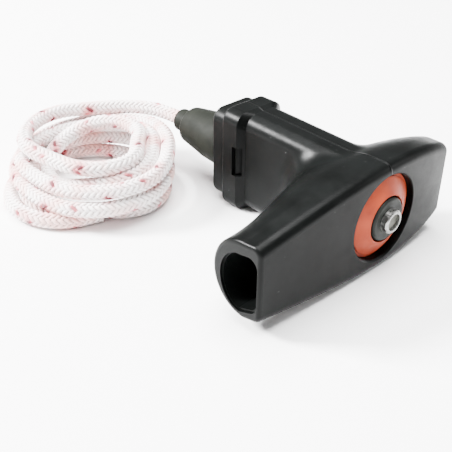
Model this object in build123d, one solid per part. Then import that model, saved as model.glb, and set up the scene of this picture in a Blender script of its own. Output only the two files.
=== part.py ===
from build123d import *
import math
import os

# A recoil starter handle: a T-shaped moulded grip with a long arm and a short arm, a rubber damper
# and rope guide, an end cap, the rope's crimped end, and the rope with its loose coil.
# Millimetres. X runs along the grip bar, Y along the pull rope, Z up, and the handle lies flat.
# The pieces are drawn about the middle of the round front recess, and moved at the end so that the
# frame's origin is the bottom centre of the handle's box.

# Grip bar, a loft of D-shaped sections
LONG_ARM = 47.8
SHORT_ARM = 30.6
BELLY_HALF = 16.5
END_HALF = 11.4
BELLY_DEPTH = 25.0
LONG_END_DEPTH = 17.4
SHORT_END_DEPTH = 16.4
LONG_END_SETBACK = 1.2
SHORT_END_SETBACK = 2.0
LONG_END_DROOP = 1.7
BAR_CORNER = 2.6
FLAT_DEPTH = 6.0
BAR_END_ROUND = 1.2

# Open cores of the two arms
ARM_WALL = 3.2
ARM_BACK_WALL = 3.8
ARM_FRONT_WALL = 1.6
CORE_END_WALL = 3.6
CORE_CORNER = 2.4
CORE_DRAFT = 1.0
LONG_CORE_DROP = 1.0
MOUTH_STEP = 0.5
MOUTH_DEPTH = 0.7

# Stem between the bar and its collar
STEM_WIDTH = 14.8
STEM_ROOT_HALF = 15.2
STEM_END_HALF = 16.1
STEM_CORNER = 4.5
STEM_ROOT = 10.0
STEM_END = 47.6
STEM_BLEND = 10.0

# Collar at the stem's end, with a flared front and a socket for the end cap
COLLAR_WIDTH = 19.0
COLLAR_HALF = 16.6
COLLAR_CORNER = 4.0
FLARE_LENGTH = 1.9
COLLAR_LENGTH = 6.3
COLLAR_EDGE = 0.8
SOCKET_DEPTH = 8.8
FIT_GAP = 0.15

# Round front recess, and the pocket and bore behind it
RECESS_RADIUS = 13.0
RECESS_EDGE = 0.5
RING_RADIUS = 11.7
RING_SETBACK = 1.9
RING_DOME = 2.3
RING_HOLE_RADIUS = 7.0
RING_SEAT = 3.4
RING_FOOT = 0.8
CUP_RADIUS = 8.2
CUP_LENGTH = 5.9
CUP_FLOOR = 1.5
CUP_BOSS_RADIUS = 6.4
CUP_BOSS = 4.4
CUP_BOSS_EDGE = 0.7
BORE_RADIUS = 5.2

# End cap: a lip outside the collar and a plug in its socket, with a catch on each side
LIP_WIDTH = 17.2
LIP_HALF = 14.8
LIP_CORNER = 4.0
LIP_LENGTH = 5.2
LIP_EDGE = 0.8
PLUG_WIDTH = 14.0
PLUG_HALF = 12.0
PLUG_CORNER = 3.6
PLUG_LENGTH = 8.4
CATCH_LENGTH = 2.2
CATCH_HEIGHT = 8.8
CATCH_REACH = 1.6
CATCH_INSET = 1.2
CATCH_RISE = 1.0
WINDOW_CLEARANCE = 0.4

# Rubber rope guide: a cone outside the cap, a neck through it and a flange inside it
GUIDE_BASE_RADIUS = 8.4
GUIDE_WAIST_RADIUS = 7.9
GUIDE_SHOULDER_RADIUS = 6.1
GUIDE_TIP_RADIUS = 3.8
GUIDE_WAIST = 8.0
GUIDE_SHOULDER = 19.0
GUIDE_STEP = 1.4
GUIDE_TIP = 25.2
GUIDE_NECK_RADIUS = 4.4
GUIDE_FLANGE_RADIUS = 5.6
GUIDE_FLANGE = 1.8

# Rope and its crimped sleeve
ROPE_RADIUS = 2.5
ROPE_GAP = 0.15
ROPE_END_SETBACK = 1.0
SLEEVE_RADIUS = 3.5
SLEEVE_FLATS = 6.7
SLEEVE_REACH = 2.9
SLEEVE_EDGE = 0.4

# Loose coil beside the stem, as the outer shape of its turns, which lean back as they rise
COIL_CENTRE_X = -33.4
COIL_CENTRE_Y = 93.4
COIL_RADIUS = 28.2
COIL_TOP_RADIUS = 25.2
COIL_LEAN_X = 1.7
COIL_LEAN_Y = 2.8
COIL_HEIGHT = 19.2
COIL_OPENING_RADIUS = 12.2
COIL_TOP_OPENING_RADIUS = 14.0
COIL_ROUND = 3.0

# Places along the stem that several pieces share
FLOOR = -COLLAR_HALF
CUP_SEAT = RING_SEAT + CUP_LENGTH
COLLAR_BACK = STEM_END + FLARE_LENGTH + COLLAR_LENGTH
SOCKET_FLOOR = COLLAR_BACK - SOCKET_DEPTH
PLUG_FRONT = COLLAR_BACK - PLUG_LENGTH
CAP_BACK = COLLAR_BACK + LIP_LENGTH
GUIDE_FRONT = PLUG_FRONT
ROPE_EXIT = CAP_BACK + GUIDE_TIP
SLEEVE_FRONT = -SLEEVE_REACH
SLEEVE_BACK = CUP_SEAT - CUP_FLOOR
CUP_FACE = RING_SEAT - CUP_BOSS
CATCH_START = PLUG_FRONT + CATCH_INSET

# The free lead, from the guide's tip to the top of the coil
LEAD_POINTS = [
    (0.0, ROPE_EXIT, 0.0),
    (0.0, ROPE_EXIT + 9.0, 0.0),
    (-4.2, ROPE_EXIT + 17.3, 0.0),
    (-11.2, ROPE_EXIT + 24.0, -0.1),
    (-19.5, ROPE_EXIT + 28.6, -0.2),
]


def bar_station(share, arm):
    """x, front, back, half height and droop at a share of one arm (-1 the long arm, 1 the short)"""
    setback = LONG_END_SETBACK if arm < 0 else SHORT_END_SETBACK
    reach = LONG_ARM if arm < 0 else SHORT_ARM
    depth = LONG_END_DEPTH if arm < 0 else SHORT_END_DEPTH
    swell = 1.5 if arm < 0 else 2.4
    droop = LONG_END_DROOP * share**2 if arm < 0 else 0.0
    front = setback * share**2
    back = BELLY_DEPTH + (setback + depth - BELLY_DEPTH) * share
    half = BELLY_HALF - (BELLY_HALF - END_HALF) * share**swell
    return arm * reach * share, front, back, half, droop


def d_section(x, front, back, half, droop, corner):
    """A flat front with rounded corners, and a half ellipse behind that may sit a little lower"""
    bow = front + FLAT_DEPTH
    top = half - droop / 2
    low = -half - droop / 6
    with BuildSketch(Plane.YZ.offset(x)) as outline:
        with BuildLine():
            Line((front, low), (front, top))
            Line((front, top), (bow, half - droop))
            EllipticalCenterArc((bow, -droop), back - bow, half, start_angle=-90, arc_size=180)
            Line((bow, -half - droop), (front, low))
        make_face()
        fillet(outline.vertices().group_by(Axis.X)[0], corner)
    return outline.sketch


def bar_solid():
    """The bar from its long end to its short end, with its end edges rounded"""
    stations = [bar_station(1, -1), bar_station(0.5, -1), bar_station(0, 1), bar_station(0.5, 1), bar_station(1, 1)]
    bar = loft([d_section(*station, BAR_CORNER) for station in stations])
    for pick in (0, -1):
        bar = bar.fillet(BAR_END_ROUND, bar.faces().filter_by(Axis.X).sort_by(Axis.X)[pick].edges())
    return bar


def rounded_prism(width, half, corner, start, end, end_width=None, end_half=None, end_corner=None):
    """A block along Y with rounded long edges, whose outline may change on the way"""
    first = Plane.XZ.offset(-start) * RectangleRounded(width, 2 * half, corner)
    last_shape = RectangleRounded(end_width or width, 2 * (end_half or half), end_corner or corner)
    return loft([first, Plane.XZ.offset(-end) * last_shape])


def rod(radius, start, end):
    """A round bar or hole along Y"""
    return extrude(Plane.XZ.offset(-start) * Circle(radius), -(end - start))


def arm_core(arm):
    """The tapered hollow of one arm, from its stepped mouth to the wall beside the recess"""
    x, front, back, half, droop = bar_station(1, arm)
    droop += LONG_CORE_DROP if arm < 0 else 0.0
    front += ARM_FRONT_WALL
    back -= ARM_BACK_WALL
    half -= ARM_WALL
    step = MOUTH_STEP
    draft = CORE_DRAFT
    mouth = d_section(x, front, back, half, droop, CORE_CORNER)
    floor = d_section(arm * (RECESS_RADIUS + CORE_END_WALL), front + draft, back - draft, half - draft, droop, CORE_CORNER)
    rim = extrude(d_section(x, front - step, back + step, half + step, droop, CORE_CORNER + step), -arm * MOUTH_DEPTH)
    return loft([mouth, floor] if arm > 0 else [floor, mouth]) + rim


def is_stem_seam(edge):
    """Whether an edge lies where the stem's sides run into the back of the bar"""
    box = edge.bounding_box()
    across = abs(edge.center().X) <= STEM_WIDTH / 2 + 0.1
    return across and box.min.Y > STEM_ROOT + 1 and box.max.Y < STEM_END - 5


def collar():
    """The flare and the straight collar at the stem's end"""
    flare_end = STEM_END + FLARE_LENGTH
    size = (COLLAR_WIDTH, COLLAR_HALF, COLLAR_CORNER)
    flare = rounded_prism(STEM_WIDTH, STEM_END_HALF, STEM_CORNER, STEM_END, flare_end, *size)
    band = rounded_prism(*size, flare_end, COLLAR_BACK)
    return flare + band.fillet(COLLAR_EDGE, band.faces().sort_by(Axis.Y)[-1].edges())


def catch_window():
    """The slots through the collar's sides that the cap's catches snap into"""
    length = CATCH_LENGTH + 2 * WINDOW_CLEARANCE
    window = Box(COLLAR_WIDTH + 2, length, CATCH_HEIGHT + 2 * WINDOW_CLEARANCE)
    return Pos(0, CATCH_START + CATCH_LENGTH / 2, CATCH_RISE) * window


def recess_rim():
    """The chamfer round the mouth of the recess, as the cone that cuts it"""
    rim = Cone(RECESS_RADIUS + 2 * RECESS_EDGE, RECESS_RADIUS, 2 * RECESS_EDGE)
    return Rot(-90, 0, 0) * rim


def grip_body():
    """The moulded grip: bar, stem and collar, with its recess, bores, socket and open arms"""
    stem = rounded_prism(STEM_WIDTH, STEM_ROOT_HALF, STEM_CORNER, STEM_ROOT, STEM_END, end_half=STEM_END_HALF)
    body = bar_solid() + stem
    body = body.fillet(STEM_BLEND, [e for e in body.edges() if is_stem_seam(e)])
    body += collar()
    body -= arm_core(-1) + arm_core(1)
    body -= rod(RECESS_RADIUS, -1, RING_SEAT)
    body -= rod(CUP_RADIUS, 0, CUP_SEAT)
    body -= rod(BORE_RADIUS, 0, COLLAR_BACK)
    room = FIT_GAP
    body -= rounded_prism(PLUG_WIDTH + 2 * room, PLUG_HALF + room, PLUG_CORNER + room, SOCKET_FLOOR, COLLAR_BACK)
    return body - catch_window() - recess_rim()


def front_ring():
    """The coloured ring in the recess: a thin foot, and a raised face that rises towards its hole"""
    foot_radius = RECESS_RADIUS - FIT_GAP
    foot_face = RING_SEAT - RING_FOOT
    with BuildSketch(Plane.XY) as half_section:
        with BuildLine():
            Polyline(
                (RING_HOLE_RADIUS, RING_SEAT),
                (foot_radius, RING_SEAT),
                (foot_radius, foot_face),
                (RING_RADIUS, foot_face),
                (RING_RADIUS, RING_SETBACK),
                (RING_HOLE_RADIUS, RING_SETBACK - RING_DOME),
                close=True,
            )
        make_face()
    return revolve(half_section.sketch, Axis.Y)


def anchor_cup():
    """The round cup that the rope's sleeve pulls on, with a wide boss in the ring's hole"""
    boss = rod(CUP_BOSS_RADIUS, CUP_FACE, RING_SEAT)
    boss = boss.fillet(CUP_BOSS_EDGE, boss.faces().sort_by(Axis.Y)[0].edges())
    cup = rod(CUP_RADIUS - FIT_GAP, RING_SEAT, CUP_SEAT) + boss
    cup -= rod(SLEEVE_RADIUS, CUP_FACE - 1, SLEEVE_BACK)
    return cup - rod(ROPE_RADIUS + ROPE_GAP, SLEEVE_BACK, CUP_SEAT + 1)


def rope_sleeve():
    """The steel sleeve crimped on the rope, with six flats in front of the cup that it sits in"""
    sleeve = rod(SLEEVE_RADIUS, SLEEVE_FRONT, SLEEVE_BACK)
    front = sleeve.faces().sort_by(Axis.Y)[0]
    sleeve = sleeve.chamfer(SLEEVE_EDGE, None, front.edges())
    length = CUP_FACE - SLEEVE_FRONT
    crimp = extrude(Plane.XZ.offset(-SLEEVE_FRONT) * RegularPolygon(SLEEVE_FLATS / 2, 6, major_radius=False), -length)
    sleeve = sleeve & (crimp + rod(SLEEVE_RADIUS + 1, CUP_FACE, SLEEVE_BACK))
    return sleeve - rod(ROPE_RADIUS, SLEEVE_FRONT - 1, SLEEVE_BACK + 1)


def damper():
    """The rubber sleeve round the rope, between the cup and the rope guide"""
    return rod(BORE_RADIUS - FIT_GAP, CUP_SEAT, GUIDE_FRONT) - rod(ROPE_RADIUS + ROPE_GAP, 0, GUIDE_FRONT + 1)


def catch(side):
    """One catch of the cap, sloped so that it slides into the socket"""
    foot = PLUG_WIDTH / 2 - 0.5
    tip = PLUG_WIDTH / 2 + CATCH_REACH
    end = CATCH_START + CATCH_LENGTH
    slope_end = end - CATCH_LENGTH / 3
    corners = [(foot, CATCH_START), (tip, slope_end), (tip, end), (foot, end)]
    with BuildSketch(Plane.XY.offset(CATCH_RISE - CATCH_HEIGHT / 2)) as outline:
        with BuildLine():
            Polyline(*[(side * x, y) for x, y in corners], close=True)
        make_face()
    return extrude(outline.sketch, CATCH_HEIGHT)


def end_cap():
    """The cap in the collar: its lip, its plug with two catches, and the seat of the rope guide"""
    lip = rounded_prism(LIP_WIDTH, LIP_HALF, LIP_CORNER, COLLAR_BACK, CAP_BACK)
    lip = lip.fillet(LIP_EDGE, lip.faces().sort_by(Axis.Y)[-1].edges())
    cap = lip + rounded_prism(PLUG_WIDTH, PLUG_HALF, PLUG_CORNER, PLUG_FRONT, COLLAR_BACK)
    cap += catch(-1) + catch(1)
    cap -= rod(GUIDE_FLANGE_RADIUS + FIT_GAP, PLUG_FRONT - 1, PLUG_FRONT + GUIDE_FLANGE)
    return cap - rod(GUIDE_NECK_RADIUS, PLUG_FRONT, CAP_BACK + 1)


def rope_guide():
    """The rubber guide, turned about the rope: flange, neck, cone and rounded tip"""
    bore = ROPE_RADIUS + ROPE_GAP / 3
    tip_round = (GUIDE_TIP_RADIUS - bore) * 0.85
    shoulder_y = CAP_BACK + GUIDE_SHOULDER
    with BuildSketch(Plane.XY) as half_section:
        with BuildLine():
            Polyline(
                (bore, GUIDE_FRONT),
                (GUIDE_FLANGE_RADIUS, GUIDE_FRONT),
                (GUIDE_FLANGE_RADIUS, GUIDE_FRONT + GUIDE_FLANGE),
                (GUIDE_NECK_RADIUS, GUIDE_FRONT + GUIDE_FLANGE),
                (GUIDE_NECK_RADIUS, CAP_BACK),
                (GUIDE_BASE_RADIUS, CAP_BACK),
                (GUIDE_WAIST_RADIUS, CAP_BACK + GUIDE_WAIST),
                (GUIDE_SHOULDER_RADIUS, shoulder_y),
                (GUIDE_TIP_RADIUS, shoulder_y + GUIDE_STEP),
                (GUIDE_TIP_RADIUS, ROPE_EXIT),
                (bore, ROPE_EXIT),
                close=True,
            )
        make_face()
    guide = revolve(half_section.sketch, Axis.Y)
    rims = guide.edges().filter_by(GeomType.CIRCLE)
    tip = [e for e in rims if abs(e.center().Y - ROPE_EXIT) < 0.01 and e.radius > GUIDE_TIP_RADIUS - 0.1]
    shoulder = [e for e in rims if abs(e.center().Y - shoulder_y) < 0.01]
    return guide.fillet(tip_round, tip + shoulder)


def rope_inside():
    """The straight rope held inside the handle, from the sleeve to the guide's tip"""
    return rod(ROPE_RADIUS, SLEEVE_FRONT + ROPE_END_SETBACK, ROPE_EXIT)


def rope_coil():
    """The outer shape of the coil's stacked turns"""
    base = Pos(COIL_CENTRE_X, COIL_CENTRE_Y, FLOOR)
    top = Pos(COIL_CENTRE_X + COIL_LEAN_X, COIL_CENTRE_Y + COIL_LEAN_Y, FLOOR + COIL_HEIGHT)
    outer = loft([base * Circle(COIL_RADIUS), top * Circle(COIL_TOP_RADIUS)])
    opening = loft([base * Circle(COIL_OPENING_RADIUS), top * Circle(COIL_TOP_OPENING_RADIUS)])
    ring = outer - opening
    return ring.fillet(COIL_ROUND, ring.faces().sort_by(Axis.Z)[-1].edges())


def lead_radii(points):
    """The largest even bend at each corner of the lead"""
    radii = []
    for before, corner, after in zip(points, points[1:], points[2:]):
        into = Vector(*corner) - Vector(*before)
        out = Vector(*after) - Vector(*corner)
        half_turn = math.radians(into.get_angle(out)) / 2
        radii.append(0.45 * min(into.length, out.length) / math.tan(half_turn))
    return radii


def rope_lead(coil):
    """The free rope from the guide's tip to the coil"""
    radii = lead_radii(LEAD_POINTS)
    path = FilletPolyline(*LEAD_POINTS, radius=radii)
    section = Plane(LEAD_POINTS[0], z_dir=path.tangent_at(0)) * Circle(ROPE_RADIUS)
    tube = sweep(section, path=path, transition=Transition.ROUND)
    print("lead bend radii", [round(r, 1) for r in radii])
    print("lead volume over section times length", round(tube.volume / (section.area * path.length), 4))
    return tube - coil


def handle_parts():
    """Every piece by its name, about the middle of the recess"""
    coil = rope_coil()
    return {
        "grip_body": grip_body(),
        "front_ring": front_ring(),
        "anchor_cup": anchor_cup(),
        "rope_sleeve": rope_sleeve(),
        "damper_sleeve": damper(),
        "end_cap": end_cap(),
        "rope_guide": rope_guide(),
        "rope_inside": rope_inside(),
        "rope_lead": rope_lead(coil),
        "rope_coil": coil,
    }


def main():
    """Build the pieces, move them to the frame and write each one"""
    os.makedirs("parts", exist_ok=True)
    middle_x = (SHORT_ARM - LONG_ARM) / 2
    middle_y = (SLEEVE_FRONT + ROPE_EXIT) / 2
    place = Pos(-middle_x, -middle_y, -FLOOR)
    for name, piece in handle_parts().items():
        export_step(place * piece, f"parts/{name}.step")


main()
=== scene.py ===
"""Recoil starter handle: finishes, braided rope, floor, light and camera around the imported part."""

from __future__ import annotations

import logging
import math
from dataclasses import dataclass, field
from enum import Enum

import bmesh
import bpy
import numpy as np
from mathutils import Matrix, Vector


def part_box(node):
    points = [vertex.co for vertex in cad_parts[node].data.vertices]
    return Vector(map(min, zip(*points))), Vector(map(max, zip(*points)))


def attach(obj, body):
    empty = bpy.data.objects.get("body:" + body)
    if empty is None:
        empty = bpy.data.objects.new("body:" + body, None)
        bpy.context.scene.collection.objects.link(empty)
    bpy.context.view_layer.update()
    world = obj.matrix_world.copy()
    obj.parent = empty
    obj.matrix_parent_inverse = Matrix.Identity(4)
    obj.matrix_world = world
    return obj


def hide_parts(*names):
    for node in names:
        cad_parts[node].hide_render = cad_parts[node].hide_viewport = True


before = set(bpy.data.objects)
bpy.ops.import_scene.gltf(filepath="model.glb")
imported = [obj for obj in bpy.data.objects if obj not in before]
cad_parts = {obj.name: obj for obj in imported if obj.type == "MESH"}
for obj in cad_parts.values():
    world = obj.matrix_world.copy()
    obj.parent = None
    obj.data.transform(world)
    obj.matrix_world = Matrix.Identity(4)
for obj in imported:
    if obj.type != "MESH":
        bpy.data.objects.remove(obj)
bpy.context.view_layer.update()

MM = 0.001
SAME_PLACE = 1e-9
SEAM_GAP = 1e-6
BODY = "root"
LOG = logging.getLogger("starter_handle")

Colour = tuple[float, ...]
Place = tuple[float, float, float]
Frames = tuple[np.ndarray, np.ndarray, np.ndarray]


class Lay(Enum):
    """The two directions in which the rope's yarns wind."""

    RIGHT = 1
    LEFT = -1


class Grain(Enum):
    """How fine a surface's small relief is, in cells to the metre."""

    FINE = 6000.0
    SOFT = 2600.0


@dataclass(frozen=True)
class Cloud:
    """A noise that fades from one colour to another between its low and its high value.

    Its scale is in cells to the metre.
    """

    per_metre: float
    detail: float
    low: float = 0.3
    high: float = 0.7
    rough: float = 0.5


@dataclass(frozen=True)
class Relief:
    """One layer of small relief, with its scale in cells to the metre and its depth in metres."""

    per_metre: float
    detail: float
    strength: float
    depth: float
    rough: float = 0.5


def middle(node: str) -> Vector:
    """The middle of a node's box.

    Args:
        node: the node's name.

    Returns:
        The middle point, in metres.
    """
    low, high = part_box(node)
    return (low + high) / 2


def run_lengths(line: np.ndarray) -> np.ndarray:
    """The distances between neighbouring points of a line.

    Args:
        line: the line's points, one row each.

    Returns:
        One distance for each pair of neighbours.
    """
    return np.linalg.norm(np.diff(line, axis=0), axis=1)


def piece_from_bmesh(name: str, mesh_data: bmesh.types.BMesh) -> bpy.types.Object:
    """Turn a finished bmesh into an object of the scene.

    Args:
        name: the piece's name.
        mesh_data: the bmesh, which is freed.

    Returns:
        The new object, at the origin.
    """
    mesh = bpy.data.meshes.new(name)
    mesh_data.to_mesh(mesh)
    mesh_data.free()
    piece = bpy.data.objects.new(name, mesh)
    bpy.context.scene.collection.objects.link(piece)
    return piece


@dataclass
class NodeWeb:
    """A material's node tree, with short ways to add and join nodes."""

    name: str
    material: bpy.types.Material = field(init=False)
    tree: bpy.types.NodeTree = field(init=False)
    shader: bpy.types.Node = field(init=False)

    def __post_init__(self) -> None:
        """Start an empty tree with one principled shader."""
        self.material = bpy.data.materials.new(self.name)
        self.material.use_nodes = True
        self.tree = self.material.node_tree
        self.tree.nodes.clear()
        self.shader = self.tree.nodes.new("ShaderNodeBsdfPrincipled")
        output = self.tree.nodes.new("ShaderNodeOutputMaterial")
        self.join(self.shader.outputs["BSDF"], output.inputs["Surface"])

    def add(self, kind: str, **settings: object) -> bpy.types.Node:
        """Add a node and set its properties and its unlinked inputs.

        Args:
            kind: the node's type name.
            settings: property names, or input names with spaces as underscores.

        Returns:
            The new node.
        """
        node = self.tree.nodes.new(kind)
        for key, value in settings.items():
            if hasattr(node, key):
                setattr(node, key, value)
            else:
                node.inputs[key.replace("_", " ")].default_value = value
        return node

    def join(self, start: bpy.types.NodeSocket, end: bpy.types.NodeSocket) -> None:
        """Link two sockets."""
        self.tree.links.new(start, end)

    def set(self, **values: object) -> None:
        """Set constants on the shader's own sockets."""
        for key, value in values.items():
            self.shader.inputs[key.replace("_", " ")].default_value = value

    def drive(self, **sources: bpy.types.NodeSocket) -> None:
        """Link sockets to the shader's own sockets."""
        for key, source in sources.items():
            self.join(source, self.shader.inputs[key.replace("_", " ")])

    def place(self) -> bpy.types.NodeSocket:
        """The object coordinates' socket."""
        return self.add("ShaderNodeTexCoord").outputs["Object"]

    def attribute(self, name: str) -> bpy.types.NodeSocket:
        """The socket of one of the mesh's attributes."""
        return self.add("ShaderNodeAttribute", attribute_name=name).outputs["Fac"]

    def noise(self, layer: Cloud | Relief) -> bpy.types.NodeSocket:
        """Noise in object space.

        Args:
            layer: the cloud or the relief that says how large and how rough the noise is.

        Returns:
            The noise's factor socket.
        """
        node = self.add(
            "ShaderNodeTexNoise", Scale=layer.per_metre, Detail=layer.detail, Roughness=layer.rough
        )
        self.join(self.place(), node.inputs["Vector"])
        return node.outputs["Fac"]

    def fade(self, cloud: Cloud, start: Colour, end: Colour) -> bpy.types.NodeSocket:
        """Fade from one colour to another through a cloud.

        Args:
            cloud: the noise, and the values where the fade starts and ends.
            start: the grey or RGB colour where the noise is low.
            end: the grey or RGB colour where it is high.

        Returns:
            The faded colour's socket.
        """
        return self.ramp(self.noise(cloud), [(cloud.low, start), (cloud.high, end)])

    def calculate(
        self, operation: str, first: bpy.types.NodeSocket, second: bpy.types.NodeSocket | float = 0.0
    ) -> bpy.types.NodeSocket:
        """Work out one number from one or two others.

        Args:
            operation: the name of the Math node's operation.
            first: the first number's socket.
            second: the second number, or its socket.

        Returns:
            The result's socket.
        """
        node = self.add("ShaderNodeMath", operation=operation)
        self.join(first, node.inputs[0])
        if isinstance(second, float):
            node.inputs[1].default_value = second
        else:
            self.join(second, node.inputs[1])
        return node.outputs[0]

    def rescale(self, value: bpy.types.NodeSocket, **limits: float) -> bpy.types.NodeSocket:
        """Map a number from one range to another, and stop at its ends.

        Args:
            value: the number's socket.
            limits: the ranges' ends that differ from 0 and 1, by their inputs' names.

        Returns:
            The mapped number's socket.
        """
        node = self.add("ShaderNodeMapRange", **limits)
        self.join(value, node.inputs["Value"])
        return node.outputs["Result"]

    def mix(
        self,
        share: bpy.types.NodeSocket,
        first: bpy.types.NodeSocket,
        second: bpy.types.NodeSocket | Colour,
    ) -> bpy.types.NodeSocket:
        """Mix two colours.

        Args:
            share: the socket of the second colour's share.
            first: the first colour's socket.
            second: the second colour, as RGB or as a socket.

        Returns:
            The mixed colour's socket.
        """
        node = self.add("ShaderNodeMix", data_type="RGBA")
        colour_a, colour_b = (socket for socket in node.inputs if socket.type == "RGBA")
        self.join(share, node.inputs["Factor"])
        self.join(first, colour_a)
        if isinstance(second, tuple):
            colour_b.default_value = (*second, 1.0)
        else:
            self.join(second, colour_b)
        return next(socket for socket in node.outputs if socket.type == "RGBA")

    def ramp(
        self, value: bpy.types.NodeSocket, stops: list[tuple[float, Colour]]
    ) -> bpy.types.NodeSocket:
        """Map a value to colours.

        Args:
            value: the driving socket.
            stops: places from 0 to 1, each with a grey or an RGB colour.

        Returns:
            The ramp's colour socket.
        """
        node = self.add("ShaderNodeValToRGB")
        elements = node.color_ramp.elements
        while len(elements) < len(stops):
            elements.new(0.5)
        for element, (place, colour) in zip(elements, stops):
            element.position = place
            rgb = colour if len(colour) == 3 else colour * 3
            element.color = (*rgb, 1.0)
        self.join(value, node.inputs["Fac"])
        return node.outputs["Color"]

    def bump(
        self, *reliefs: Relief, extra: tuple[tuple[bpy.types.NodeSocket, float, float], ...] = ()
    ) -> None:
        """Stack bump layers onto the shader's normal.

        Args:
            reliefs: the layers that are plain noise.
            extra: for each further layer its height socket, its strength and its depth in metres.
        """
        last = None
        noises = [(self.noise(relief), relief.strength, relief.depth) for relief in reliefs]
        for height, strength, depth in (*noises, *extra):
            node = self.add("ShaderNodeBump", Strength=strength, Distance=depth)
            self.join(height, node.inputs["Height"])
            if last is not None:
                self.join(last, node.inputs["Normal"])
            last = node.outputs["Normal"]
        self.join(last, self.shader.inputs["Normal"])


@dataclass(frozen=True)
class MouldedNylon:
    """Dark moulded nylon with a fine grain, cloudy gloss and a few pale scuffs."""

    name: str
    dark: Colour = (0.0011, 0.0013, 0.0012)
    light: Colour = (0.0026, 0.003, 0.0029)
    tint: Cloud = Cloud(90.0, 4.0)
    scuff: Colour = (0.12, 0.12, 0.12)
    specks: Cloud = Cloud(900.0, 5.0, 0.69, 0.73, 0.65)
    patches: Cloud = Cloud(120.0, 2.0, 0.5, 0.62)
    patch_strength: float = 0.6
    gloss_low: float = 0.28
    gloss_high: float = 0.4
    gloss: Cloud = Cloud(260.0, 4.0)
    shine: float = 0.05
    grain: Relief = Relief(5200.0, 2.0, 0.22, 0.00006)
    dimples: Relief = Relief(420.0, 3.0, 0.12, 0.00012)
    seam_strength: float = 0.0
    seam_depth: float = 0.0002
    seam_place: float = 0.0
    seam_half_width: float = 0.0004
    seam_fades: float = 0.0298
    seam_full: float = 0.031

    def parting_line(self, web: NodeWeb) -> bpy.types.NodeSocket:
        """The fine ridge that the two halves of the mould leave along the top of the part.

        Args:
            web: the material's node tree.

        Returns:
            The ridge's height socket, 1 on its crest and 0 beside it.
        """
        split = web.add("ShaderNodeSeparateXYZ")
        web.join(web.place(), split.inputs[0])
        away = web.calculate("ABSOLUTE", web.calculate("SUBTRACT", split.outputs["X"], self.seam_place))
        ridge = web.rescale(away, From_Max=self.seam_half_width, To_Min=1.0, To_Max=0.0)
        topside = web.rescale(split.outputs["Z"], From_Min=self.seam_fades, From_Max=self.seam_full)
        return web.calculate("MULTIPLY", ridge, topside)

    def make(self) -> bpy.types.Material:
        """Build the material.

        Returns:
            The finished material.
        """
        web = NodeWeb(self.name)
        specks = web.fade(self.specks, (0.0,), (1.0,))
        patches = web.fade(self.patches, (0.0,), (self.patch_strength,))
        wear = web.calculate("MULTIPLY", specks, patches)
        web.drive(
            Base_Color=web.mix(wear, web.fade(self.tint, self.dark, self.light), self.scuff),
            Roughness=web.fade(self.gloss, (self.gloss_low,), (self.gloss_high,)),
        )
        seam = ()
        if self.seam_strength:
            seam = ((self.parting_line(web), self.seam_strength, self.seam_depth),)
        web.bump(self.grain, self.dimples, extra=seam)
        web.set(Specular_IOR_Level=self.shine)
        return web.material


@dataclass(frozen=True)
class PlainMoulding:
    """A coloured moulding with a soft grain and slightly uneven colour."""

    name: str
    low: Colour
    high: Colour
    rough_low: float = 0.42
    rough_high: float = 0.6
    grain: Grain = Grain.FINE
    shine: float = 0.12
    tint: Cloud = Cloud(180.0, 5.0, 0.32, 0.68)
    gloss: Cloud = Cloud(320.0, 3.0)
    grain_detail: float = 3.0
    grain_strength: float = 0.25
    grain_depth: float = 0.00005

    def make(self) -> bpy.types.Material:
        """Build the material.

        Returns:
            The finished material.
        """
        web = NodeWeb(self.name)
        web.drive(
            Base_Color=web.fade(self.tint, self.low, self.high),
            Roughness=web.fade(self.gloss, (self.rough_low,), (self.rough_high,)),
        )
        web.bump(Relief(self.grain.value, self.grain_detail, self.grain_strength, self.grain_depth))
        web.set(Specular_IOR_Level=self.shine)
        return web.material


@dataclass(frozen=True)
class BareSteel:
    """Bare crimped steel, finely scratched and a little dull."""

    name: str
    colour: Colour = (0.32, 0.32, 0.31)
    dull_share: float = 0.62
    tarnish: Cloud = Cloud(700.0, 4.0, 0.3, 0.65)
    rough_low: float = 0.24
    rough_high: float = 0.46
    polish: Cloud = Cloud(1500.0, 4.0)
    scratches: Relief = Relief(2600.0, 3.0, 0.2, 0.00008)

    def make(self) -> bpy.types.Material:
        """Build the material.

        Returns:
            The finished material.
        """
        web = NodeWeb(self.name)
        dull = tuple(self.dull_share * channel for channel in self.colour)
        web.drive(
            Base_Color=web.fade(self.tarnish, dull, self.colour),
            Roughness=web.fade(self.polish, (self.rough_low,), (self.rough_high,)),
        )
        web.bump(self.scratches)
        web.set(Metallic=1.0)
        return web.material


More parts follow.
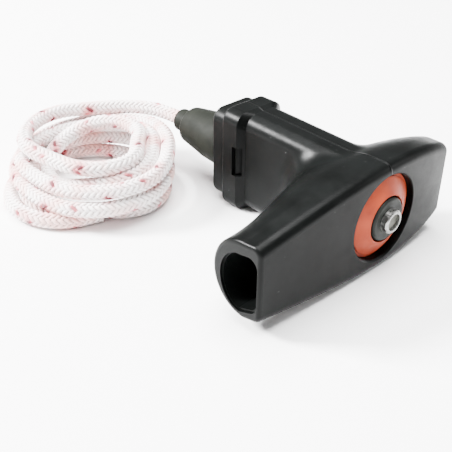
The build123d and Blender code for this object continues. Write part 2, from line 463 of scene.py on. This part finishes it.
@dataclass(frozen=True)
class BraidYarn:
    """White polyester yarn with a blush in places, darker valleys and a dyed tracer.

    The mesh's attributes say where the valleys, the tracer and the dye's halo are. The darker valleys
    are painted shade, laid where the braid shades itself.
    """

    name: str
    white: Colour = (0.86, 0.82, 0.81)
    blush: Colour = (0.80, 0.50, 0.46)
    tint: Cloud = Cloud(95.0, 2.0, 0.46, 0.62)
    # painted shade: the dark colour that the yarns' valleys are mixed towards, standing in for the
    # shade between the crests
    valley_shade: Colour = (0.36, 0.27, 0.26)
    bleed: Colour = (0.60, 0.15, 0.17)
    tracer: Colour = (0.10, 0.004, 0.012)
    bleed_at: float = 0.25
    tracer_at: float = 0.75
    covers_at: float = 0.4
    fibres: Relief = Relief(5200.0, 4.0, 0.35, 0.00012, 0.7)
    roughness: float = 0.82
    sheen: float = 0.25
    sheen_roughness: float = 0.5

    def make(self) -> bpy.types.Material:
        """Build the material.

        Returns:
            The finished material.
        """
        web = NodeWeb(self.name)
        clean = web.fade(self.tint, self.white, self.blush)
        haloed = web.mix(web.attribute("halo"), clean, self.bleed)
        # painted shade: the lower a point lies below the crests (the sunk attribute), the more of the
        # dark valley colour it gets
        shaded = web.mix(web.attribute("sunk"), haloed, self.valley_shade)
        dye = web.attribute("tracer")
        dyed = web.ramp(dye, [(self.bleed_at, self.bleed), (self.tracer_at, self.tracer)])
        covered = web.ramp(dye, [(0.0, (0.0,)), (self.covers_at, (1.0,))])
        web.drive(Base_Color=web.mix(covered, shaded, dyed))
        web.bump(self.fibres)
        web.set(
            Roughness=self.roughness, Sheen_Weight=self.sheen, Sheen_Roughness=self.sheen_roughness
        )
        return web.material


@dataclass(frozen=True)
class Turn:
    """One turn of the coil, by its radius and height in millimetres at each eighth of a turn."""

    radii: tuple[float, ...]
    heights: tuple[float, ...]


@dataclass
class RopeRoute:
    """The rope's centreline: the free lead from the guide, and then the loose turns of the coil.

    The lead's points are offsets in millimetres from the guide's tip. The turns are counted in degrees
    round the coil's middle. Their first station faces away from the camera, and a height is measured
    from the rope's own height at the guide.
    """

    diameter: float = 5.0
    lead: tuple[Place, ...] = (
        (0.0, 0.0, 0.0),
        (0.0, 9.0, 0.0),
        (-4.2, 17.3, 0.0),
        (-11.2, 24.0, -0.1),
        (-19.5, 28.6, -0.2),
    )
    centre: tuple[float, float] = (-32.7, 4.8)
    facing: float = -43.7
    first_station: float = 90.0
    station_step: float = 45.0
    lead_ends: float = 110.0
    points_per_turn: int = 18
    turns: tuple[Turn, ...] = (
        Turn(
            radii=(28.3, 27.4, 22.4, 16.0, 17.4, 18.2, 14.0, 17.5),
            heights=(0.3, 0.3, 0.2, 0.0, 0.0, 0.0, -0.1, -0.3),
        ),
        Turn(
            radii=(19.0, 18.0, 16.0, 14.2, 17.6, 21.4, 18.8, 21.6),
            heights=(-1.3, -5.4, -9.6, -9.8, -5.6, -3.4, -2.8, -2.2),
        ),
        Turn(
            radii=(23.4, 22.8, 24.2, 20.2, 22.9, 26.2, 24.0, 26.0),
            heights=(-4.4, -4.9, -5.0, -5.9, -5.2, -3.8, -2.4, -1.9),
        ),
        Turn(
            radii=(28.0, 27.2, 26.2, 23.4, 25.9, 26.4, 23.8, 23.4),
            heights=(-4.9, -6.1, -9.0, -9.9, -9.6, -9.0, -8.2, -8.6),
        ),
        Turn(
            radii=(24.6, 23.2, 22.4, 24.0, 17.4, 23.8, 22.8, 21.2),
            heights=(-9.6, -9.7, -12.3, -14.0, -14.0, -14.0, -14.0, -14.0),
        ),
        Turn(radii=(22.6, 24.8, 26.6, 29.2, 23.6, 12.0), heights=(-14.0,) * 6),
    )
    stops_short: float = 33.0
    rounding: int = 3
    segments: int = 8
    fine_segments: int = 12

    def exit(self) -> Vector:
        """The point on the guide's tip where the rope leaves it."""
        point = middle("rope_guide")
        point.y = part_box("rope_guide")[1].y
        return point

    def station(self, values: list[float], turn_angle: float) -> float:
        """A smooth value between the stations at each eighth of a turn.

        Args:
            values: the stations' values, in order.
            turn_angle: degrees past the first station.

        Returns:
            The value there, by a curve through the four stations nearest to it.
        """
        place = turn_angle / self.station_step
        index = int(place)
        share = place - index
        last = len(values) - 1
        before, here, after, beyond = (
            values[min(max(index + offset, 0), last)] for offset in (-1, 0, 1, 2)
        )
        slope_here = (after - before) / 2
        slope_after = (beyond - here) / 2
        rise = after - here
        cubic = slope_here + slope_after - 2 * rise
        square = rise - slope_here - cubic
        return here + share * (slope_here + share * (square + share * cubic))

    def control_points(self) -> list[Vector]:
        """The points of the rope's spline, in metres.

        Returns:
            The lead's points, then those of the coil's turns.
        """
        exit_point = self.exit()
        points = [exit_point + Vector(offset) * MM for offset in self.lead]
        radii = [radius for turn in self.turns for radius in turn.radii]
        heights = [height for turn in self.turns for height in turn.heights]
        middle_point = exit_point + Vector((*self.centre, 0.0)) * MM
        step = 360.0 / self.points_per_turn
        start = self.lead_ends - self.first_station + step / 2
        end = self.station_step * (len(radii) - 1) - self.stops_short
        steps = round((end - start) / step)
        for index in range(steps + 1):
            past = start + (end - start) * index / steps
            plan = math.radians(self.first_station + past + self.facing)
            across = Vector((math.cos(plan), math.sin(plan), 0.0)) * self.station(radii, past)
            rise = Vector((0.0, 0.0, self.station(heights, past)))
            points.append(middle_point + (across + rise) * MM)
        return points

    def spline_curve(self, name: str, bevel: float) -> bpy.types.Object:
        """The rope's centreline as a smooth curve.

        Args:
            name: the curve object's name.
            bevel: its thickness from the centreline, in metres.

        Returns:
            The curve object.
        """
        data = bpy.data.curves.new(name, "CURVE")
        data.dimensions = "3D"
        data.bevel_depth = bevel
        data.bevel_resolution = self.rounding
        data.resolution_u = self.segments
        data.use_fill_caps = True
        spline = data.splines.new("NURBS")
        points = self.control_points()
        spline.points.add(len(points) - 1)
        for target, point in zip(spline.points, points):
            target.co = (*point, 1.0)
        spline.order_u = 3
        spline.use_endpoint_u = True
        curve = bpy.data.objects.new(name, data)
        bpy.context.scene.collection.objects.link(curve)
        return curve

    def centreline(self, spacing: float) -> np.ndarray:
        """Even points along the spline.

        Args:
            spacing: the distance between points, in metres.

        Returns:
            An array of points, one row each.
        """
        bare = self.spline_curve("rope_line", 0.0)
        bare.data.resolution_u = self.fine_segments
        depsgraph = bpy.context.evaluated_depsgraph_get()
        mesh = bpy.data.meshes.new_from_object(bare.evaluated_get(depsgraph))
        raw = np.array([vertex.co for vertex in mesh.vertices], float)
        bpy.data.objects.remove(bare)
        bpy.data.meshes.remove(mesh)
        raw = raw[np.concatenate(([True], run_lengths(raw) > SAME_PLACE))]
        along = np.concatenate(([0.0], np.cumsum(run_lengths(raw))))
        even = np.linspace(0.0, along[-1], int(along[-1] / spacing) + 1)
        return np.stack([np.interp(even, along, raw[:, axis]) for axis in range(3)], axis=1)


@dataclass
class BraidedRope:
    """The starter rope: a core on the route's spline, and yarns that cross over and under each other.

    Its sizes are in millimetres. One cycle of a yarn takes it over and then under the same number of
    others, and is counted in crossings.
    """

    route: RopeRoute
    core_radius: float = 1.88
    yarn: BraidYarn = BraidYarn("rope_yarn")
    # painted shade: the core is coloured dark so that where it shows between the yarns it stands in for
    # their shade
    heart: BraidYarn = BraidYarn("rope_heart", (0.36, 0.28, 0.27), (0.36, 0.18, 0.17))
    yarns_each_way: int = 8
    lay_length: float = 14.0
    cycle: float = 4.0
    yarn_middle: float = 1.8
    yarn_wave: float = 0.24
    yarn_half_width: float = 0.6
    yarn_half_height: float = 0.5
    yarn_sides: int = 6
    sample: float = 0.6
    dyed_yarn: int = 0
    dyed_right: tuple[float, ...] = (1.0, 0.0, 0.0, 0.6, 0.0)
    dyed_left: tuple[float, ...] = (0.0, 0.9, 0.0, 0.0, 0.35, 0.0, 0.0)
    dye_edge: float = 2.0
    halo_reach: float = 1.9
    halo_strength: float = 0.95
    crest_share: float = 0.87
    # where the painted valley shade starts below the crests, and how much deeper it reaches its full
    # share, in millimetres
    sunk_from: float = 0.08
    sunk_depth: float = 0.6

    def build(self) -> None:
        core = self.route.spline_curve("rope_core", self.core_radius * MM)
        yarn = self.yarn.make()
        core.data.materials.append(self.heart.make())
        line = self.route.centreline(self.sample * MM)
        frames = self.moving_frames(line)
        braids = [self.yarn_set(lay, line, frames, yarn) for lay in Lay]
        for piece in (core, *braids):
            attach(piece, BODY)
        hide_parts("rope_lead", "rope_coil")
        tuple(self.route.exit())

    def moving_frames(self, line: np.ndarray) -> Frames:
        """Directions along and across the rope that turn as little as they can.

        Args:
            line: even points along the centreline.

        Returns:
            The tangents, and two directions across them, one row for each point.
        """
        tangent = np.gradient(line, axis=0)
        tangent /= np.linalg.norm(tangent, axis=1)[:, None]
        side = np.zeros_like(line)
        side[0] = np.cross(tangent[0], (0.0, 0.0, 1.0))
        side[0] /= np.linalg.norm(side[0])
        for index in range(1, len(line)):
            carried = side[index - 1] - tangent[index] * (side[index - 1] @ tangent[index])
            side[index] = carried / np.linalg.norm(carried)
        return tangent, side, np.cross(tangent, side)

    def yarn_set(
        self, lay: Lay, line: np.ndarray, frames: Frames, material: bpy.types.Material
    ) -> bpy.types.Object:
        """All yarns that wind one way, as one piece.

        Args:
            lay: the way that they wind.
            line: even points along the centreline.
            frames: the moving directions at those points.
            material: the yarns' material.

        Returns:
            The piece.
        """
        columns, rows = len(line), self.yarn_sides + 1
        shape = bmesh.new()
        for _ in range(self.yarns_each_way):
            bmesh.ops.create_grid(shape, x_segments=columns - 1, y_segments=rows - 1, size=1.0)
        piece = piece_from_bmesh(f"rope_braid_{lay.name.lower()}", shape)
        mesh = piece.data
        flat = np.zeros(len(mesh.vertices) * 3)
        mesh.vertices.foreach_get("co", flat)
        flat = flat.reshape(self.yarns_each_way, columns * rows, 3)
        column = np.rint((flat[0, :, 0] + 1.0) / 2.0 * (columns - 1)).astype(int)
        turn = (flat[0, :, 1] + 1.0) * math.pi
        dye = np.zeros((self.yarns_each_way, columns * rows), np.float32)
        sunk = np.zeros_like(dye)
        halo = np.zeros_like(dye)
        flecks = self.flecks(line, frames)
        for index in range(self.yarns_each_way):
            flat[index], over, sunk[index] = self.yarn_surface(index, lay, line, frames, column, turn)
            halo[index] = self.halo_share(flat[index], flecks)
            if index == self.dyed_yarn:
                dye[index] = over
        mesh.vertices.foreach_set("co", flat.ravel())
        for name, values in (("tracer", dye), ("sunk", sunk), ("halo", halo)):
            mesh.attributes.new(name, "FLOAT", "POINT").data.foreach_set("value", values.ravel())
        mesh.materials.append(material)
        self.close_seams(mesh)
        return piece

    def halo_share(self, skin: np.ndarray, flecks: np.ndarray) -> np.ndarray:
        """How strongly the dye has bled into the white yarn round the flecks.

        Args:
            skin: the points of a yarn's skin, one row each.
            flecks: the dyed places, with the strength of each.

        Returns:
            The dye's share at each point of the skin, from 0 to 1.
        """
        away = np.linalg.norm(skin[:, None, :] - flecks[None, :, :3], axis=2) / (self.halo_reach * MM)
        bled = (flecks[:, 3] * np.exp(-away**2)).sum(axis=1)
        return np.clip(bled * self.halo_strength, 0.0, 1.0)

    def yarn_path(
        self, index: int, lay: Lay, line: np.ndarray, frames: Frames
    ) -> tuple[np.ndarray, np.ndarray, np.ndarray, np.ndarray, np.ndarray]:
        """One yarn's own line round the rope.

        Args:
            index: the yarn's number in its set.
            lay: the way that it winds.
            line: even points along the rope's centreline.
            frames: the moving directions at those points.

        Returns:
            Its points, its outward and crosswise directions, its lift from -1 to 1, and the strength
            of the dye where it surfaces.
        """
        tangent, side, up = frames
        way = lay.value
        along = np.arange(len(line)) * self.sample
        crossing = 2 * self.yarns_each_way * along / self.lay_length
        spin = way * 2 * math.pi * along / self.lay_length + 2 * math.pi * index / self.yarns_each_way
        phase = way * (2 * index + way * crossing - 0.5) + (0.0 if lay is Lay.RIGHT else self.cycle / 2)
        lift = np.cos(2 * math.pi / self.cycle * phase)
        dyes = self.dyed_right if lay is Lay.RIGHT else self.dyed_left
        strength = np.array(dyes)[np.rint(phase / self.cycle).astype(int) % len(dyes)]
        outward = np.cos(spin)[:, None] * side + np.sin(spin)[:, None] * up
        round_way = -np.sin(spin)[:, None] * side + np.cos(spin)[:, None] * up
        slant = math.atan2(2 * math.pi * self.yarn_middle, self.lay_length)
        across = math.cos(slant) * round_way - way * math.sin(slant) * tangent
        centre = line + (self.yarn_middle + self.yarn_wave * lift)[:, None] * MM * outward
        return centre, outward, across, lift, strength

    def flecks(self, line: np.ndarray, frames: Frames) -> np.ndarray:
        """The places where the dyed yarns come to the surface.

        Args:
            line: even points along the rope's centreline.
            frames: the moving directions at those points.

        Returns:
            One row for each place: its point, and how strong its dye is.
        """
        rows = []
        for lay in Lay:
            centre, _, _, lift, strength = self.yarn_path(self.dyed_yarn, lay, line, frames)
            crest = (lift[1:-1] > lift[:-2]) & (lift[1:-1] >= lift[2:]) & (strength[1:-1] > 0.0)
            places = np.flatnonzero(crest) + 1
            rows.append(np.column_stack((centre[places], strength[places])))
        return np.concatenate(rows)

    def yarn_surface(
        self,
        index: int,
        lay: Lay,
        line: np.ndarray,
        frames: Frames,
        column: np.ndarray,
        turn: np.ndarray,
    ) -> tuple[np.ndarray, np.ndarray, np.ndarray]:
        """The place of each point of one yarn's skin.

        Args:
            index: the yarn's number in its set.
            lay: the way that it winds.
            line: even points along the centreline.
            frames: the moving directions at those points.
            column: each skin point's place along the rope.
            turn: each skin point's angle round the yarn.

        Returns:
            The points, how strongly the tracer's dye shows at each of them, and how far each is sunk
            below the rope's crests, from 0 to 1.
        """
        centre, outward, across, lift, strength = self.yarn_path(index, lay, line, frames)
        wide = (self.yarn_half_width * MM * np.cos(turn))[:, None] * across[column]
        high = (self.yarn_half_height * MM * np.sin(turn))[:, None] * outward[column]
        dyed = (np.clip(lift * self.dye_edge, 0.0, 1.0) * strength)[column]
        reach = self.yarn_wave * lift[column] + self.yarn_half_height * np.sin(turn)
        crest = self.yarn_wave + self.crest_share * self.yarn_half_height
        # the mask of the painted valley shade: 0 on the crests, rising to 1 deep between the yarns
        sunk = np.clip((crest - reach - self.sunk_from) / self.sunk_depth, 0.0, 1.0)
        return centre[column] + wide + high, dyed, sunk

    def close_seams(self, mesh: bpy.types.Mesh) -> None:
        """Merge each yarn's long seam, cap its ends and turn its faces outwards.

        Args:
            mesh: the mesh of the yarns that wind one way.
        """
        shape = bmesh.new()
        shape.from_mesh(mesh)
        bmesh.ops.remove_doubles(shape, verts=shape.verts, dist=SEAM_GAP)
        open_edges = [edge for edge in shape.edges if edge.is_boundary]
        bmesh.ops.holes_fill(shape, edges=open_edges, sides=0)
        bmesh.ops.recalc_face_normals(shape, faces=shape.faces)
        for face in shape.faces:
            face.smooth = True
        shape.to_mesh(mesh)
        shape.free()


@dataclass
class HandleFinish:
    """The finishes of the handle's own parts, which keep the shapes that they came with."""

    cap: MouldedNylon = MouldedNylon("cap_nylon", gloss_low=0.34, gloss_high=0.48)
    ring: PlainMoulding = PlainMoulding("ring_terracotta", (0.20, 0.024, 0.008), (0.29, 0.04, 0.013))
    cup: PlainMoulding = PlainMoulding("cup_grey", (0.005, 0.006, 0.005), (0.011, 0.0125, 0.0105))
    sleeve: BareSteel = BareSteel("sleeve_steel")
    fused_rope: PlainMoulding = PlainMoulding(
        "rope_fused", (0.07, 0.07, 0.06), (0.16, 0.16, 0.14), 0.45, 0.7, Grain.SOFT
    )
    guide: PlainMoulding = PlainMoulding(
        "guide_rubber", (0.004, 0.0046, 0.0034), (0.0078, 0.0086, 0.0066), 0.54, 0.7, Grain.SOFT, 0.07
    )
    damper: PlainMoulding = PlainMoulding(
        "damper_rubber", (0.02, 0.02, 0.02), (0.03, 0.03, 0.03), 0.6, 0.75, Grain.SOFT
    )
    seam_strength: float = 0.6

    def build(self) -> None:
        """Dress each part in its material, with the grip's parting line over the stem's middle."""
        stem_middle = middle("rope_guide").x
        finishes = {
            "grip_body": MouldedNylon(
                "grip_nylon", seam_strength=self.seam_strength, seam_place=stem_middle
            ),
            "end_cap": self.cap,
            "front_ring": self.ring,
            "anchor_cup": self.cup,
            "rope_sleeve": self.sleeve,
            "rope_inside": self.fused_rope,
            "rope_guide": self.guide,
            "damper_sleeve": self.damper,
        }
        for node, finish in finishes.items():
            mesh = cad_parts[node].data
            mesh.materials.clear()
            mesh.materials.append(finish.make())
            LOG.info("%s in %s", node, finish.name)


@dataclass(frozen=True)
class SoftLight:
    """A square soft light, with its place and width in metres and its power in watts."""

    name: str
    place: Place
    width: float
    power: float

    def hang(self, aim: Vector) -> None:
        """Add the light, facing a point.

        Args:
            aim: the point that it faces, in metres.
        """
        data = bpy.data.lights.new(self.name, "AREA")
        data.size = self.width
        data.energy = self.power
        light = bpy.data.objects.new(self.name, data)
        light.location = self.place
        light.rotation_euler = (aim - Vector(self.place)).to_track_quat("-Z", "Y").to_euler()
        bpy.context.scene.collection.objects.link(light)


@dataclass
class Studio:
    """The pale floor, the soft lights and the camera.

    The camera's place is measured in millimetres from the middle of the trim ring's front, and its
    angles are in degrees. The floor and the lights are placed in metres.
    """

    lens_pixels: float = 800.0
    picture_pixels: float = 452.0
    sensor: float = 36.0
    azimuth: float = -43.705
    elevation: float = 32.648
    roll: float = 0.766
    shift_right: float = 43.781
    shift_up: float = 2.054
    depth: float = 219.383
    ring_front: float = 0.4
    clip: tuple[float, float] = (0.01, 10.0)
    floor_half_width: float = 3.0
    floor_white: float = 0.9
    floor_roughness: float = 0.9
    sky_white: Colour = (1.0, 1.0, 1.0)
    sky_strength: float = 0.5
    aim: Place = (0.0, 0.0, 0.015)
    lights: tuple[SoftLight, ...] = (
        SoftLight("key", (0.0, 0.1, 1.1), 1.0, 85.0),
        SoftLight("side", (0.7, -0.5, 0.35), 0.3, 2.0),
        SoftLight("rear", (-0.52, 0.62, 0.57), 0.23, 82.0),
    )

    def directions(self) -> tuple[Vector, Vector, Vector]:
        """The camera's right, up and back directions.

        Returns:
            Three unit vectors.
        """
        turn = math.radians(self.azimuth)
        rise = math.radians(self.elevation)
        out = math.cos(rise)
        back = Vector((math.sin(turn) * out, -math.cos(turn) * out, math.sin(rise)))
        level = Vector((math.cos(turn), math.sin(turn), 0.0))
        upright = back.cross(level)
        lean = math.radians(self.roll)
        right = math.cos(lean) * level + math.sin(lean) * upright
        up = -math.sin(lean) * level + math.cos(lean) * upright
        return right, up, back

    def camera(self) -> None:
        """Place the camera at the photograph's angle."""
        right, up, back = self.directions()
        ring = middle("front_ring")
        ring.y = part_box("front_ring")[0].y + self.ring_front * MM
        place = ring + (self.depth * back - self.shift_right * right - self.shift_up * up) * MM
        data = bpy.data.cameras.new("camera")
        data.sensor_width = self.sensor
        data.lens = self.lens_pixels / self.picture_pixels * self.sensor
        data.clip_start, data.clip_end = self.clip
        camera = bpy.data.objects.new("camera", data)
        turned = Matrix((right, up, back)).transposed()
        camera.matrix_world = Matrix.Translation(place) @ turned.to_4x4()
        bpy.context.scene.collection.objects.link(camera)
        bpy.context.scene.camera = camera

    def floor(self) -> None:
        """Lay the pale floor that the handle rests on."""
        shape = bmesh.new()
        bmesh.ops.create_grid(shape, x_segments=1, y_segments=1, size=self.floor_half_width)
        floor = piece_from_bmesh("floor", shape)
        web = NodeWeb("floor_white")
        web.set(Base_Color=(*(self.floor_white,) * 3, 1.0), Roughness=self.floor_roughness)
        floor.data.materials.append(web.material)

    def sky(self) -> None:
        """Surround the scene with an even white light."""
        world = bpy.data.worlds.new("studio")
        world.use_nodes = True
        background = world.node_tree.nodes["Background"]
        background.inputs["Color"].default_value = (*self.sky_white, 1.0)
        background.inputs["Strength"].default_value = self.sky_strength
        bpy.context.scene.world = world

    def build(self) -> None:
        """Make the camera, the floor, the sky and the lights from above, the right and behind."""
        self.camera()
        self.floor()
        self.sky()
        for light in self.lights:
            light.hang(Vector(self.aim))
            LOG.info("%s light of %.0f W", light.name, light.power)


def main() -> None:
    """Build the studio, the rope and the finishes, and log the lights and the finishes."""
    logging.basicConfig(level=logging.INFO)
    Studio().build()
    BraidedRope(RopeRoute()).build()
    HandleFinish().build()


if __name__ == "__main__":
    main()
